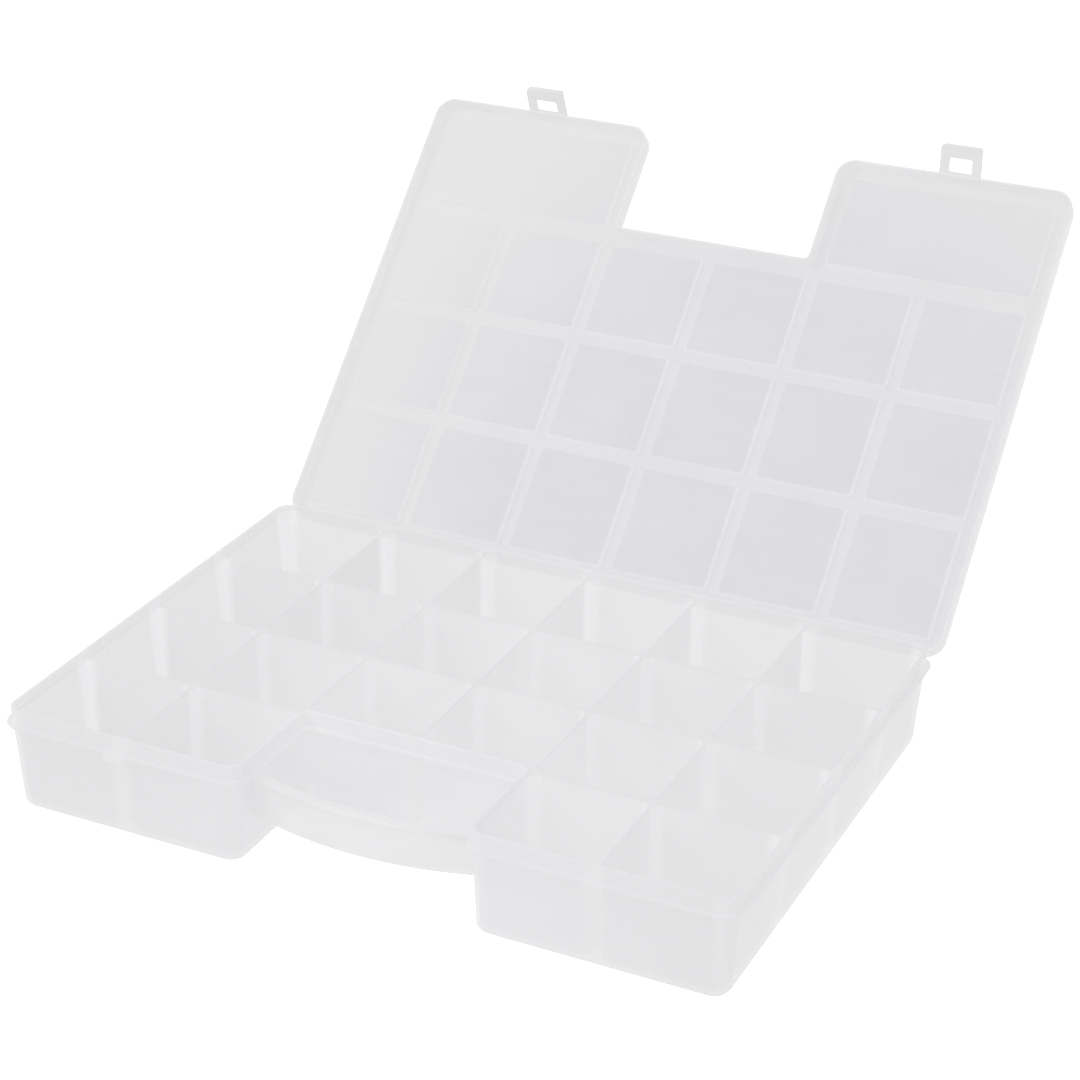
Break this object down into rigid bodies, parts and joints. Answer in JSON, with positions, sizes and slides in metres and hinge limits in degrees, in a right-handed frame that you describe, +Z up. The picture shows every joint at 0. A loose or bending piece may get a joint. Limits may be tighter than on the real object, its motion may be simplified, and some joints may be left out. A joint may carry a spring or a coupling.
{
  "type": "compartment case",
  "caption": "Open frosted plastic compartment case: divided tray with a front recess and bowed handle, hinged lid with plug pads, and loop latches.",
  "frame": {"origin": "centre of the tray's flat underside, halfway along the rim's length and depth", "axes": "+Z up out of the tray, front and handle towards -Y, +X to the right seen from the front"},
  "size_m": [0.344, 0.4274, 0.2242],
  "materials": {
    "tray_plastic": "frosted",
    "lid_plastic": "frosted",
    "handle_plastic": "frosted",
    "latch_plastic": "frosted"
  },
  "bodies": {
    "tray": {"catch_left": "tray_plastic", "catch_right": "tray_plastic", "column_divider_1": "tray_plastic", "column_divider_2": "tray_plastic", "column_divider_3": "tray_plastic", "column_divider_4": "tray_plastic", "column_divider_5": "tray_plastic", "handle_flange": "handle_plastic", "handle_foot": "handle_plastic", "handle_web": "handle_plastic", "hinge_strip_1": "tray_plastic", "hinge_strip_2": "tray_plastic", "hinge_strip_3": "tray_plastic", "hinge_strip_4": "tray_plastic", "hinge_strip_5": "tray_plastic", "hinge_strip_6": "tray_plastic", "row_divider_front_left": "tray_plastic", "row_divider_front_right": "tray_plastic", "row_divider_middle": "tray_plastic", "row_divider_rear": "tray_plastic", "tray_floor_left": "tray_plastic", "tray_floor_rear": "tray_plastic", "tray_floor_right": "tray_plastic", "tray_wall_front_left": "tray_plastic", "tray_wall_front_right": "tray_plastic", "tray_wall_left": "tray_plastic", "tray_wall_rear": "tray_plastic", "tray_wall_recess_back": "tray_plastic", "tray_wall_recess_left": "tray_plastic", "tray_wall_recess_right": "tray_plastic", "tray_wall_right": "tray_plastic"},
    "lid": {"latch_strip_left": "latch_plastic", "latch_strip_right": "latch_plastic", "lid_hinge_rail": "lid_plastic", "lid_panel_left": "lid_plastic", "lid_panel_rear": "lid_plastic", "lid_panel_right": "lid_plastic", "lid_skirt_front_left": "lid_plastic", "lid_skirt_front_right": "lid_plastic", "lid_skirt_left": "lid_plastic", "lid_skirt_rear": "lid_plastic", "lid_skirt_recess_back": "lid_plastic", "lid_skirt_recess_left": "lid_plastic", "lid_skirt_recess_right": "lid_plastic", "lid_skirt_right": "lid_plastic"},
    "latch_left": {"latch_loop_left": "latch_plastic", "latch_lip_left": "latch_plastic"},
    "latch_right": {"latch_loop_right": "latch_plastic", "latch_lip_right": "latch_plastic"}
  },
  "joints": [
    {"name": "lid_hinge", "type": "hinge", "parent": "tray", "child": "lid", "pos_m": [0, 0.1222, 0.04075], "axis": [1, 0, 0], "range_deg": [-45, 135]},
    {"name": "latch_left_hinge", "type": "hinge", "parent": "lid", "child": "latch_left", "pos_m": [-0.1115, 0.3005, 0.20823], "axis": [1, 0, 0], "range_deg": [-128, 22]},
    {"name": "latch_right_hinge", "type": "hinge", "parent": "lid", "child": "latch_right", "pos_m": [0.1115, 0.3005, 0.20823], "axis": [1, 0, 0], "range_deg": [-104, 46]}
  ]
}
